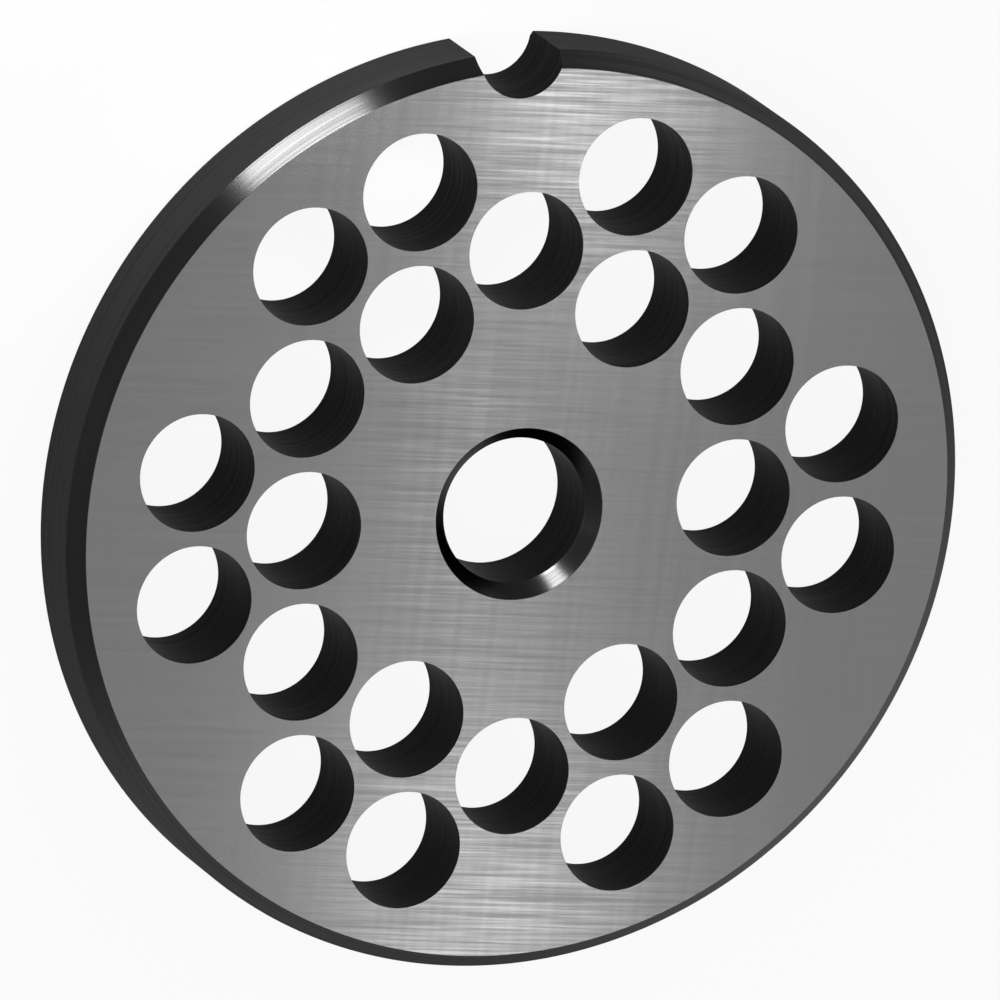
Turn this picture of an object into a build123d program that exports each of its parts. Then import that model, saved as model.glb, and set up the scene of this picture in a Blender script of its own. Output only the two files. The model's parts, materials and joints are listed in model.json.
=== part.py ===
"""Perforated plate of a size 8 meat grinder: one disc of hardened steel.

The knife sweeps the ground front face and cuts the meat off as the feed screw
presses it through the holes. The plate drops into the grinder's head on its rim,
a pin in the head enters the key slot and stops it from turning, and the end of the
feed screw runs in the bore.

Frame: the plate lies on its rear face, on Z = 0. +Z is its axis and points out of
the front face. +Y runs from the axis to the key slot.
"""

from build123d import *

import math
import os

# Driving dimensions, in millimetres and degrees.

# The turned blank.
PLATE_DIAMETER = 62.0
PLATE_THICKNESS = 6.35
RIM_CHAMFER_WIDTH = 1.0  # across the front face
RIM_CHAMFER_DEPTH = 1.15  # down the rim
BORE_DIAMETER = 9.8
COUNTERSINK_WIDTH = 0.9  # across the front face, all round the bore
COUNTERSINK_DEPTH = 1.0  # down the bore
REAR_EDGE_BREAK = 0.4  # 45 degrees, at the rim and at the bore

# The half-round key slot, centred on the rim's own circle.
KEY_SLOT_DIAMETER = 5.8

# The drilled holes stand in columns along Y, each column staggered by half a pitch.
HOLE_DIAMETER = 7.9
WEB_IN_COLUMN = 1.0  # metal between two holes of one column
WEB_ACROSS = 0.8  # metal between two holes of neighbouring columns
GRID_TURN = -1.1  # of the columns against the key slot, anticlockwise seen from the front

# Plain lands of the face that the holes keep clear of.
HUB_LAND_DIAMETER = 21.6  # round the bore, where the knife's hub turns
RIM_LAND_WIDTH = 3.5  # from the rim inwards, where the head's shoulder bears

plate_radius = PLATE_DIAMETER / 2
bore_radius = BORE_DIAMETER / 2
hole_radius = HOLE_DIAMETER / 2
key_slot_radius = KEY_SLOT_DIAMETER / 2

# Two neighbours in a column and the hole between them in the next one make a triangle:
# its base is the row pitch, its legs are a hole and a web long.
row_pitch = HOLE_DIAMETER + WEB_IN_COLUMN
column_pitch = math.sqrt((HOLE_DIAMETER + WEB_ACROSS) ** 2 - (row_pitch / 2) ** 2)

# Where a hole may lie: whole within this ring, and a web away from the key slot.
drilled_inside_radius = HUB_LAND_DIAMETER / 2
drilled_outside_radius = plate_radius - RIM_LAND_WIDTH
key_slot_centre = Vector(0, plate_radius)
clear_of_slot = key_slot_radius + WEB_ACROSS + hole_radius


def turned_section():
    """Half of the blank's section, from the bore to the rim, in the XZ plane."""
    front = PLATE_THICKNESS
    with BuildSketch(Plane.XZ) as section:
        with BuildLine():
            Polyline(
                (bore_radius + REAR_EDGE_BREAK, 0),
                (plate_radius - REAR_EDGE_BREAK, 0),
                (plate_radius, REAR_EDGE_BREAK),
                (plate_radius, front - RIM_CHAMFER_DEPTH),
                (plate_radius - RIM_CHAMFER_WIDTH, front),
                (bore_radius + COUNTERSINK_WIDTH, front),
                (bore_radius, front - COUNTERSINK_DEPTH),
                (bore_radius, REAR_EDGE_BREAK),
                close=True,
            )
        make_face()
    return section.sketch


def hole_centres():
    """The centres of the staggered grid whose holes keep clear of both lands and the slot."""
    columns = math.ceil(plate_radius / column_pitch)
    rows = math.ceil(plate_radius / row_pitch)
    centres = []
    for column in range(-columns, columns + 1):
        stagger = row_pitch / 2 if column % 2 else 0
        for row in range(-rows, rows + 1):
            centre = Vector(column * column_pitch, row * row_pitch + stagger)
            centre = centre.rotate(Axis.Z, GRID_TURN)
            off_hub = centre.length - hole_radius >= drilled_inside_radius
            off_rim = centre.length + hole_radius <= drilled_outside_radius
            off_slot = (centre - key_slot_centre).length >= clear_of_slot
            if off_hub and off_rim and off_slot:
                centres.append(centre)
    return centres


def grinder_plate():
    """The finished plate: turned, drilled through and slotted."""
    with BuildPart() as plate:
        revolve(turned_section(), axis=Axis.Z)
        with Locations(*hole_centres()):
            Hole(hole_radius)
        with Locations(key_slot_centre):
            Hole(key_slot_radius)
    return plate.part


os.makedirs("parts", exist_ok=True)
export_step(grinder_plate(), "parts/grinder_plate.step")
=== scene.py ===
"""The looks of a perforated plate for a meat grinder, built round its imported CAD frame."""

import json
import math

import bmesh
import bpy
from mathutils import Matrix, Vector


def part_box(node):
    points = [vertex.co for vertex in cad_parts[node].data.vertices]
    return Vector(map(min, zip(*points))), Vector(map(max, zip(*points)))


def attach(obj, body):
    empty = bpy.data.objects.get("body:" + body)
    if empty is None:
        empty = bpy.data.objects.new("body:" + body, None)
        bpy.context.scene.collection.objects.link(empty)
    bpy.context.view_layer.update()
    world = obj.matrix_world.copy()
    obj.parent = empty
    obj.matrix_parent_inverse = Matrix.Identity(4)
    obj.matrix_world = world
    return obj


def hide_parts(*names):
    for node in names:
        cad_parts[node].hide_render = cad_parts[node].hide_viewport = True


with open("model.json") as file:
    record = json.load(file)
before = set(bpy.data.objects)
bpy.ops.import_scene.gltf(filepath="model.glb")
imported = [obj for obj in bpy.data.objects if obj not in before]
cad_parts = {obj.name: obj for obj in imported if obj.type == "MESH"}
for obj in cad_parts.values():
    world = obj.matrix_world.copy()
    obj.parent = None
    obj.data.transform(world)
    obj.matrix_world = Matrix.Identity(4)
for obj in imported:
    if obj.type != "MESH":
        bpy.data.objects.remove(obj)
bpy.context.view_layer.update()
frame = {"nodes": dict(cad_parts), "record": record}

# ---------------------------------------------------------------------------
# The turned blank: a disc sawn from steel bar, faced on both sides, with its
# rim chamfered at the front on a lathe. It is shaped in millimetres and lies on
# its rear face, and its sizes are those of the CAD plate.
# ---------------------------------------------------------------------------
MM = 0.001
ON_THE_FACE = 0.001
TO_THE_MICROMETRE = 3
mounts = {mount["name"]: mount for mount in frame["record"]["mounts"]}
lowest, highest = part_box("grinder_plate")
plate_thickness = (highest.z - lowest.z) / MM
cad_points = [
    Vector([distance / MM for distance in vertex.co])
    for vertex in frame["nodes"]["grinder_plate"].data.vertices
]
front_points = [point for point in cad_points if point.z > plate_thickness - ON_THE_FACE]
front_radii = [point.xy.length for point in front_points]

plate_radius = mounts["rim"]["dims"]["r_mm"]
rim_length = mounts["rim"]["dims"]["length_mm"]
rear_break = mounts["rim"]["pos_m"][2] / MM - rim_length / 2
rim_chamfer_depth = plate_thickness - rear_break - rim_length
rim_chamfer_width = round(plate_radius - max(front_radii), TO_THE_MICROMETRE)
RIM_FACETS = 288


def turned_shape(start_radius, start_height, steps, facets):
    """A closed round shape whose section goes up in steps of (rise, change of radius)."""
    shape = bmesh.new()
    bmesh.ops.create_circle(shape, cap_ends=True, radius=start_radius, segments=facets)
    bmesh.ops.translate(shape, verts=shape.verts[:], vec=(0, 0, start_height))
    radius = start_radius
    top = shape.faces[:]
    for number, (rise, change) in enumerate(steps):
        made = bmesh.ops.extrude_face_region(shape, geom=top, use_keep_orig=number == 0)["geom"]
        if number > 0:
            bmesh.ops.delete(shape, geom=top, context="FACES_ONLY")
        corners = [part for part in made if isinstance(part, bmesh.types.BMVert)]
        top = [part for part in made if isinstance(part, bmesh.types.BMFace)]
        grow = (radius + change) / radius
        bmesh.ops.translate(shape, verts=corners, vec=(0, 0, rise))
        bmesh.ops.scale(shape, verts=corners, vec=(grow, grow, 1))
        radius += change
    bmesh.ops.recalc_face_normals(shape, faces=shape.faces[:])
    return shape


def as_object(shape, name):
    """A new object at the origin that holds the shape."""
    mesh = bpy.data.meshes.new(name)
    shape.to_mesh(mesh)
    shape.free()
    made = bpy.data.objects.new(name, mesh)
    bpy.context.scene.collection.objects.link(made)
    return made


blank_steps = [
    (rear_break, rear_break),
    (rim_length, 0),
    (rim_chamfer_depth, -rim_chamfer_width),
]
blank = turned_shape(plate_radius - rear_break, 0, blank_steps, RIM_FACETS)
ground_plate = as_object(blank, "ground_plate")

# ---------------------------------------------------------------------------
# The openings: the bore with its countersink, the drilled holes and the
# half-round key slot, all cut through the blank. Each hole stands where its
# opening is in the frame.
# ---------------------------------------------------------------------------
bore_radius = mounts["centre_bore"]["dims"]["r_mm"]
bore_length = mounts["centre_bore"]["dims"]["length_mm"]
countersink_depth = plate_thickness - rear_break - bore_length
countersink_width = round(min(front_radii) - bore_radius, TO_THE_MICROMETRE)
OVERSHOOT = 0.5
BORE_FACETS = 128
HOLE_FACETS = 96

hole_centres = []
for opening in frame["record"]["physics"]["openings"]:
    low, high = opening["box_m"]
    hole_centres.append(Vector([(low[axis] + high[axis]) / 2 / MM for axis in (0, 1)]))
hole_radius = min((point.xy - hole_centres[0]).length for point in cad_points)
slot_centre = Vector((0, plate_radius))
slot_radius = min((point.xy - slot_centre).length for point in cad_points)

flare = OVERSHOOT * (countersink_width / countersink_depth)
bore_steps = [
    (rear_break + OVERSHOOT, -rear_break - OVERSHOOT),
    (bore_length, 0),
    (countersink_depth + OVERSHOOT, countersink_width + flare),
]
bore_start = bore_radius + rear_break + OVERSHOOT
bore_shape = turned_shape(bore_start, -OVERSHOOT, bore_steps, BORE_FACETS)
cutters = [as_object(bore_shape, "bore_cutter")]
drillings = [(centre, hole_radius) for centre in hole_centres]
drillings.append((slot_centre, slot_radius))
for centre, radius in drillings:
    through = [(plate_thickness + 2 * OVERSHOOT, 0)]
    drill = turned_shape(radius, -OVERSHOOT, through, HOLE_FACETS)
    bmesh.ops.translate(drill, verts=drill.verts[:], vec=(centre.x, centre.y, 0))
    cutters.append(as_object(drill, "drill"))

cutter_set = bpy.data.collections.new("cutters")
bpy.context.scene.collection.children.link(cutter_set)
for cutter in cutters:
    bpy.context.scene.collection.objects.unlink(cutter)
    cutter_set.objects.link(cutter)
cut = ground_plate.modifiers.new("cut", "BOOLEAN")
cut.operation = "DIFFERENCE"
cut.solver = "EXACT"
cut.operand_type = "COLLECTION"
cut.collection = cutter_set
bpy.context.view_layer.update()
seen_plate = ground_plate.evaluated_get(bpy.context.evaluated_depsgraph_get())
cut_mesh = bpy.data.meshes.new_from_object(seen_plate)
ground_plate.modifiers.clear()
ground_plate.data = cut_mesh
for cutter in cutters:
    bpy.data.objects.remove(cutter)
bpy.data.collections.remove(cutter_set)

# ---------------------------------------------------------------------------
# The edges: grinding and use leave a minute break on every edge of the two
# faces, the slot and the holes. Each surface then gets its finish's number, by
# where it lies, and a map of the plate's plan, which the grinding follows.
# ---------------------------------------------------------------------------
EDGE_BREAK = 0.04
SHARP_ANGLE = math.radians(30)
FLAT_ANGLE = math.radians(0.2)
WELD_DISTANCE = 0.0005
FACING_FLAT = 0.9999
FACING_SIDEWAYS = 0.3
GROUND, TURNED, DRILLED, RIM = 0, 1, 2, 3

plate = bmesh.new()
plate.from_mesh(ground_plate.data)
bmesh.ops.remove_doubles(plate, verts=plate.verts[:], dist=WELD_DISTANCE)
bmesh.ops.dissolve_limit(
    plate, angle_limit=FLAT_ANGLE, verts=plate.verts[:], edges=plate.edges[:]
)
bmesh.ops.recalc_face_normals(plate, faces=plate.faces[:])


def finish_of(face):
    """The number of a surface's finish, by where it lies and which way it looks."""
    middle = face.calc_center_median().xy
    reach = 2 * EDGE_BREAK
    if abs(face.normal.z) > FACING_FLAT:
        return GROUND
    if (middle - slot_centre).length < slot_radius + reach:
        return DRILLED
    sideways = abs(face.normal.z) < FACING_SIDEWAYS
    if sideways and middle.length > plate_radius - rear_break - reach:
        return RIM
    if middle.length > plate_radius - rim_chamfer_width - reach:
        return TURNED
    in_countersink = middle.length < bore_radius + countersink_width + reach
    return TURNED if in_countersink and face.normal.z > FACING_SIDEWAYS else DRILLED


sharp_edges = [
    edge
    for edge in plate.edges
    if len(edge.link_faces) == 2 and edge.calc_face_angle() > SHARP_ANGLE
]
broken = bmesh.ops.bevel(
    plate,
    geom=sharp_edges,
    affect="EDGES",
    offset=EDGE_BREAK,
    offset_type="OFFSET",
    segments=2,
    profile=0.5,
    clamp_overlap=True,
    material=-1,
)
broken_faces = set(broken["faces"])
for edge in plate.edges:
    sides_broken = [face in broken_faces for face in edge.link_faces]
    at_break = any(sides_broken) and not all(sides_broken)
    edge.smooth = not at_break and edge.calc_face_angle(0) <= SHARP_ANGLE

grind_map = plate.loops.layers.uv.new("grind")
for face in plate.faces:
    face.material_index = finish_of(face)
    face.smooth = face.material_index != GROUND
    for loop in face.loops:
        loop[grind_map].uv = loop.vert.co.xy
bmesh.ops.scale(plate, verts=plate.verts[:], vec=(MM, MM, MM))
plate.to_mesh(ground_plate.data)
plate.free()

# ---------------------------------------------------------------------------
# The ground faces: the plate is tool steel, hardened through. Its two faces are
# ground bright afterwards, in straight passes with a few stray marks across
# them. The marks are painted in stronger contrast along a middle band, where the
# strip lamps' highlight falls: painted highlight streaks.
# ---------------------------------------------------------------------------
MARKS_DETAIL = 1.0
MARKS_ROUGHNESS = 0.6


def make_machining_marks():
    """Long fine marks, with their own counts per metre in three directions."""
    group = bpy.data.node_groups.new("machining_marks", "ShaderNodeTree")
    sockets = group.interface
    sockets.new_socket("Coordinates", in_out="INPUT", socket_type="NodeSocketVector")
    for direction in ("Along", "Across", "Deep"):
        sockets.new_socket(direction, in_out="INPUT", socket_type="NodeSocketFloat")
    sockets.new_socket("Marks", in_out="OUTPUT", socket_type="NodeSocketFloat")
    nodes, links = group.nodes, group.links
    source = nodes.new("NodeGroupInput")
    result = nodes.new("NodeGroupOutput")
    counts = nodes.new("ShaderNodeCombineXYZ")
    links.new(source.outputs["Along"], counts.inputs["X"])
    links.new(source.outputs["Across"], counts.inputs["Y"])
    links.new(source.outputs["Deep"], counts.inputs["Z"])
    stretch = nodes.new("ShaderNodeVectorMath")
    stretch.operation = "MULTIPLY"
    links.new(source.outputs["Coordinates"], stretch.inputs[0])
    links.new(counts.outputs["Vector"], stretch.inputs[1])
    noise = nodes.new("ShaderNodeTexNoise")
    noise.inputs["Scale"].default_value = 1.0
    noise.inputs["Detail"].default_value = MARKS_DETAIL
    noise.inputs["Roughness"].default_value = MARKS_ROUGHNESS
    links.new(stretch.outputs["Vector"], noise.inputs["Vector"])
    links.new(noise.outputs["Fac"], result.inputs["Marks"])
    return group


machining_marks = make_machining_marks()


def new_finish(name, turn):
    """A material, its nodes and links, its shader, and coordinates turned for its marks."""
    material = bpy.data.materials.new(name)
    material.use_nodes = True
    nodes, links = material.node_tree.nodes, material.node_tree.links
    where = nodes.new("ShaderNodeTexCoord")
    turned = nodes.new("ShaderNodeMapping")
    turned.inputs["Rotation"].default_value = turn
    links.new(where.outputs["Object"], turned.inputs["Vector"])
    ground_plate.data.materials.append(material)
    return nodes, links, nodes["Principled BSDF"], turned.outputs["Vector"]


def marks(nodes, links, coordinates, *, along, across, deep):
    """The machining marks with their counts per metre in each direction."""
    node = nodes.new("ShaderNodeGroup")
    node.node_tree = machining_marks
    node.inputs["Along"].default_value = along
    node.inputs["Across"].default_value = across
    node.inputs["Deep"].default_value = deep
    links.new(coordinates, node.inputs["Coordinates"])
    return node.outputs["Marks"]


def ramp(nodes, links, source, before, after):
    """Takes a value from the span before to the span after, and holds it at the ends."""
    node = nodes.new("ShaderNodeMapRange")
    node.inputs["From Min"].default_value = before[0]
    node.inputs["From Max"].default_value = before[1]
    node.inputs["To Min"].default_value = after[0]
    node.inputs["To Max"].default_value = after[1]
    links.new(source, node.inputs["Value"])
    return node.outputs["Result"]


def combine(nodes, links, operation, first, second):
    """One step of arithmetic on a value and a second value or number."""
    node = nodes.new("ShaderNodeMath")
    node.operation = operation
    links.new(first, node.inputs[0])
    if isinstance(second, float):
        node.inputs[1].default_value = second
    else:
        links.new(second, node.inputs[1])
    return node.outputs["Value"]


def between(nodes, links, share, dark, light):
    """A grey between two others."""
    node = nodes.new("ShaderNodeMix")
    node.data_type = "RGBA"
    node.inputs["A"].default_value = dark
    node.inputs["B"].default_value = light
    links.new(share, node.inputs["Factor"])
    return node.outputs["Result"]


GRIND_TURN = math.radians(7.0)
GROUND_DARK = (0.445, 0.445, 0.447, 1)
GROUND_LIGHT = (0.575, 0.575, 0.577, 1)
GROUND_GLOSS = (0.22, 0.14)
# The band of painted highlight streaks: its middle, its edges, and the share of mark contrast
# inside and outside it.
HIGHLIGHT_BAND_MIDDLE = 0.003
HIGHLIGHT_BAND_EDGE = (0.010, 0.025)
HIGHLIGHT_BAND_SHARE = (1.0, 0.12)
BOTH_MARKS = (0.7, 1.3)
LENGTHWISE_TONE = (-0.5, 0.5)
STRAY_MARKS = (0.35, 0.65)
STRAY_TONE = (-0.15, 0.15)
MIDDLE_TONE = 0.5
GRAIN_STRETCH = 0.3
GRAIN_TURN = 0.25
MARKS_DEPTH = 0.000004
MARKS_STRENGTH = 0.3

nodes, links, shader, along_grind = new_finish("ground_steel", (0, 0, GRIND_TURN))
fine = marks(nodes, links, along_grind, along=160.0, across=7000.0, deep=300.0)
broad = marks(nodes, links, along_grind, along=70.0, across=2600.0, deep=300.0)
stray = marks(nodes, links, along_grind, along=1500.0, across=30.0, deep=300.0)
both = combine(nodes, links, "ADD", fine, broad)
lengthwise = ramp(nodes, links, both, BOTH_MARKS, LENGTHWISE_TONE)
crosswise = ramp(nodes, links, stray, STRAY_MARKS, STRAY_TONE)
all_marks = combine(nodes, links, "ADD", lengthwise, crosswise)

where = nodes.new("ShaderNodeTexCoord")
split = nodes.new("ShaderNodeSeparateXYZ")
links.new(where.outputs["Object"], split.inputs["Vector"])
# Painted highlight streaks: the marks keep their full contrast only in a band round the middle,
# where the strip lamps' highlight falls.
from_highlight_band = combine(nodes, links, "SUBTRACT", split.outputs["X"], HIGHLIGHT_BAND_MIDDLE)
off_middle = combine(nodes, links, "ABSOLUTE", from_highlight_band, 0.0)
highlight_band_streaks = ramp(nodes, links, off_middle, HIGHLIGHT_BAND_EDGE, HIGHLIGHT_BAND_SHARE)
shown_marks = combine(nodes, links, "MULTIPLY", all_marks, highlight_band_streaks)
tone = combine(nodes, links, "ADD", shown_marks, MIDDLE_TONE)
colour = between(nodes, links, tone, GROUND_DARK, GROUND_LIGHT)
links.new(colour, shader.inputs["Base Color"])
gloss = ramp(nodes, links, both, BOTH_MARKS, GROUND_GLOSS)
links.new(gloss, shader.inputs["Roughness"])
shader.inputs["Metallic"].default_value = 1.0
shader.inputs["Anisotropic"].default_value = GRAIN_STRETCH
shader.inputs["Anisotropic Rotation"].default_value = GRAIN_TURN
tangent = nodes.new("ShaderNodeTangent")
tangent.direction_type = "UV_MAP"
tangent.uv_map = "grind"
links.new(tangent.outputs["Tangent"], shader.inputs["Tangent"])
bump = nodes.new("ShaderNodeBump")
bump.inputs["Strength"].default_value = MARKS_STRENGTH
bump.inputs["Distance"].default_value = MARKS_DEPTH
links.new(broad, bump.inputs["Height"])
links.new(bump.outputs["Normal"], shader.inputs["Normal"])

# ---------------------------------------------------------------------------
# The dark finishes: outside its faces the steel keeps the skin of its hardening.
# The chamfers and the countersink are turned smooth and shine a little, the walls of the
# holes are rough, and the rim stays dull. The walls of the holes, the bore and the slot
# are near-black: dark skin, with painted shade for the dark inside of the holes.
# ---------------------------------------------------------------------------
UPRIGHT = (math.radians(90), 0, 0)
TONE_MARKS = (0.35, 0.65)
GLOSS_MARKS = (0.3, 0.7)
TURNED_SHEEN = 0.5
MATT_SHEEN = 0.4
MATT_SPECULAR = 0.02


def grey(value):
    """A neutral colour."""
    return (value, value, value, 1)


def dark_finish(name, *, tones, along, across, gloss):
    """The shader of a dark finish with fine marks, between two greys and two roughnesses."""
    nodes, links, shader, upright = new_finish(name, UPRIGHT)
    turning = marks(nodes, links, upright, along=along, across=across, deep=along)
    tone = ramp(nodes, links, turning, TONE_MARKS, (0.0, 1.0))
    colour = between(nodes, links, tone, grey(tones[0]), grey(tones[1]))
    links.new(colour, shader.inputs["Base Color"])
    roughness = ramp(nodes, links, turning, GLOSS_MARKS, gloss)
    links.new(roughness, shader.inputs["Roughness"])
    return shader


shader = dark_finish(
    "turned_skin",
    tones=(0.036, 0.048),
    along=40.0,
    across=6000.0,
    gloss=(0.21, 0.17),
)
shader.inputs["Metallic"].default_value = 1.0
shader.inputs["Specular Tint"].default_value = grey(TURNED_SHEEN)

# Near-black walls of the holes, the bore and the slot: the dark skin of hardening, with painted
# shade for the dark inside of the holes.
shader = dark_finish(
    "drilled_skin_and_painted_shade",
    tones=(0.001, 0.004),
    along=60.0,
    across=4000.0,
    gloss=(0.58, 0.50),
)
shader.inputs["Metallic"].default_value = 0.0
shader.inputs["Specular IOR Level"].default_value = MATT_SPECULAR
shader.inputs["Specular Tint"].default_value = grey(MATT_SHEEN)

shader = dark_finish(
    "rim_skin",
    tones=(0.028, 0.035),
    along=40.0,
    across=6000.0,
    gloss=(0.75, 0.65),
)
shader.inputs["Metallic"].default_value = 0.0
shader.inputs["Specular IOR Level"].default_value = MATT_SPECULAR
shader.inputs["Specular Tint"].default_value = grey(MATT_SHEEN)

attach(ground_plate, "root")
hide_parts("grinder_plate")

# ---------------------------------------------------------------------------
# The table: a large white board, matt, that the plate lies loose on. It isn't
# part of the plate. It looks white where it is seen or mirrored, and it keeps
# the plate's soft shadow.
# ---------------------------------------------------------------------------
TABLE_SIZE = 6.0
TABLE_GAP = 0.00001
TABLE_WHITE = 0.85
WHITE_SHARE = 0.92

board = bmesh.new()
bmesh.ops.create_grid(board, x_segments=1, y_segments=1, size=TABLE_SIZE / 2)
bmesh.ops.translate(board, verts=board.verts[:], vec=(0, 0, -TABLE_GAP))
floor = as_object(board, "table")
table_white = bpy.data.materials.new("table_white")
table_white.use_nodes = True
nodes, links = table_white.node_tree.nodes, table_white.node_tree.links
nodes.clear()
output = nodes.new("ShaderNodeOutputMaterial")
matt = nodes.new("ShaderNodeBsdfDiffuse")
matt.inputs["Color"].default_value = grey(TABLE_WHITE)
glow = nodes.new("ShaderNodeEmission")
glow.inputs["Color"].default_value = grey(1.0)
glow.inputs["Strength"].default_value = 1.0
rays = nodes.new("ShaderNodeLightPath").outputs
seen = combine(nodes, links, "MAXIMUM", rays["Is Camera Ray"], rays["Is Glossy Ray"])
seen = combine(nodes, links, "MAXIMUM", seen, rays["Is Transmission Ray"])
share = combine(nodes, links, "MULTIPLY", seen, WHITE_SHARE)
blend = nodes.new("ShaderNodeMixShader")
links.new(share, blend.inputs["Fac"])
links.new(matt.outputs["BSDF"], blend.inputs[1])
links.new(glow.outputs["Emission"], blend.inputs[2])
links.new(blend.outputs["Shader"], output.inputs["Surface"])
floor.data.materials.append(table_white)

# ---------------------------------------------------------------------------
# The studio: a room round the table, with a white horizon, grey walls that are
# lighter half way up, and a grey ceiling. Each stop is a height, as the sine of
# its angle, and a grey.
# ---------------------------------------------------------------------------
STUDIO_STOPS = (
    (0.03, 1.0),
    (0.10, 0.3),
    (0.22, 0.3),
    (0.40, 0.55),
    (0.72, 0.55),
    (0.86, 0.315),
    (1.0, 0.315),
)

studio = bpy.data.worlds.new("studio")
bpy.context.scene.world = studio
studio.use_nodes = True
nodes, links = studio.node_tree.nodes, studio.node_tree.links
nodes.clear()
output = nodes.new("ShaderNodeOutputWorld")
background = nodes.new("ShaderNodeBackground")
where = nodes.new("ShaderNodeTexCoord")
split = nodes.new("ShaderNodeSeparateXYZ")
links.new(where.outputs["Generated"], split.inputs["Vector"])
walls = nodes.new("ShaderNodeValToRGB")
links.new(split.outputs["Z"], walls.inputs["Fac"])
stops = walls.color_ramp.elements
stops.remove(stops[1])
for number, (height, value) in enumerate(STUDIO_STOPS):
    stop = stops[0] if number == 0 else stops.new(height)
    stop.position = height
    stop.color = grey(value)
links.new(walls.outputs["Color"], background.inputs["Color"])
background.inputs["Strength"].default_value = 1.0
links.new(background.outputs["Background"], output.inputs["Surface"])

# ---------------------------------------------------------------------------
# The camera: a long lens that looks down on the front face from the left. It
# stands well back, so the plate is drawn with hardly any perspective.
# ---------------------------------------------------------------------------
CAMERA_TURN = math.radians(-129.36)
CAMERA_HEIGHT = math.radians(63.97)
CAMERA_ROLL = math.radians(126.88)
CAMERA_PLACE = Vector((-0.58896, 0.48307, 1.56251))
CAMERA_LENS = 956.83
CAMERA_SENSOR = 36.0
CAMERA_SEES = (0.1, 10.0)

camera_data = bpy.data.cameras.new("camera")
camera_data.lens = CAMERA_LENS
camera_data.sensor_width = CAMERA_SENSOR
camera_data.clip_start, camera_data.clip_end = CAMERA_SEES
camera = bpy.data.objects.new("camera", camera_data)
bpy.context.scene.collection.objects.link(camera)
facing = (
    Matrix.Rotation(CAMERA_TURN, 4, "Z")
    @ Matrix.Rotation(math.radians(90) - CAMERA_HEIGHT, 4, "X")
    @ Matrix.Rotation(CAMERA_ROLL, 4, "Z")
)
camera.matrix_world = Matrix.Translation(CAMERA_PLACE) @ facing
bpy.context.scene.camera = camera
bpy.context.scene.view_settings.view_transform = "Standard"

# ---------------------------------------------------------------------------
# The lamps: soft boxes. Three strips hang where the front face mirrors them,
# each over a line on the face, two small ones stand where the rim's chamfer and
# the countersink mirror them, and a large one lights the rim from the left.
# ---------------------------------------------------------------------------


def soft_box(name, place, target, along, width, length, radiance):
    """A rectangular lamp that faces target, with its length along a direction."""
    data = bpy.data.lights.new(name, "AREA")
    data.shape = "RECTANGLE"
    data.size = width
    data.size_y = length
    data.energy = radiance * width * length * math.pi
    lamp = bpy.data.objects.new(name, data)
    bpy.context.scene.collection.objects.link(lamp)
    lamp.visible_camera = False
    away = (place - target).normalized()
    upright = (along - away * away.dot(along)).normalized()
    sideways = upright.cross(away)
    turned = Matrix((sideways, upright, away)).transposed().to_4x4()
    lamp.matrix_world = Matrix.Translation(place) @ turned


STRIP_DISTANCE = 0.2
STRIPS = (
    ("box_top", (0.0020, 0.0225), (0.0095, 0.046), 0.009, 2.5),
    ("box_middle", (-0.0040, -0.0100), (-0.0030, 0.0130), 0.004, 1.2),
    ("box_bottom", (-0.0010, -0.046), (-0.0035, -0.0185), 0.017, 1.2),
)

backwards = facing.to_3x3() @ Vector((0, 0, 1))
mirrored = Vector((-backwards.x, -backwards.y, backwards.z))
front_height = highest.z
for name, low_end, high_end, width, radiance in STRIPS:
    low_point = Vector((*low_end, front_height))
    high_point = Vector((*high_end, front_height))
    middle = (low_point + high_point) / 2
    strip = high_point - low_point
    place = middle + mirrored * STRIP_DISTANCE
    soft_box(name, place, middle, strip, width, strip.length, radiance)

UP = Vector((0, 0, 1))
NEAR_DISTANCE = 0.04


def near_box(name, *, turn, radius, depth, slope, width, length, radiance):
    """A small soft box where a sloping turned edge mirrors it, at a turn round the axis."""
    outwards = Vector((math.cos(turn), math.sin(turn), 0))
    spot = (outwards * radius + UP * (plate_thickness - depth)) * MM
    normal = (outwards * slope[0] + UP * slope[1]).normalized()
    towards_lamp = normal * 2 * normal.dot(backwards) - backwards
    soft_box(name, spot + towards_lamp * NEAR_DISTANCE, spot, UP, width, length, radiance)


near_box(
    "chamfer_box",
    turn=math.radians(119.5),
    radius=plate_radius - rim_chamfer_width / 2,
    depth=rim_chamfer_depth / 2,
    slope=(rim_chamfer_depth, rim_chamfer_width),
    width=0.026,
    length=0.0035,
    radiance=39.0,
)
near_box(
    "countersink_box",
    turn=math.radians(300),
    radius=bore_radius + countersink_width / 2,
    depth=countersink_depth / 2,
    slope=(-countersink_depth, countersink_width),
    width=0.010,
    length=0.004,
    radiance=38.0,
)

KEY_PLACE = Vector((-0.8, -0.25, 1.0))
KEY_SIZE = 1.4
KEY_RADIANCE = 0.75
soft_box("key", KEY_PLACE, Vector((0, 0, 0)), UP, KEY_SIZE, KEY_SIZE, KEY_RADIANCE)
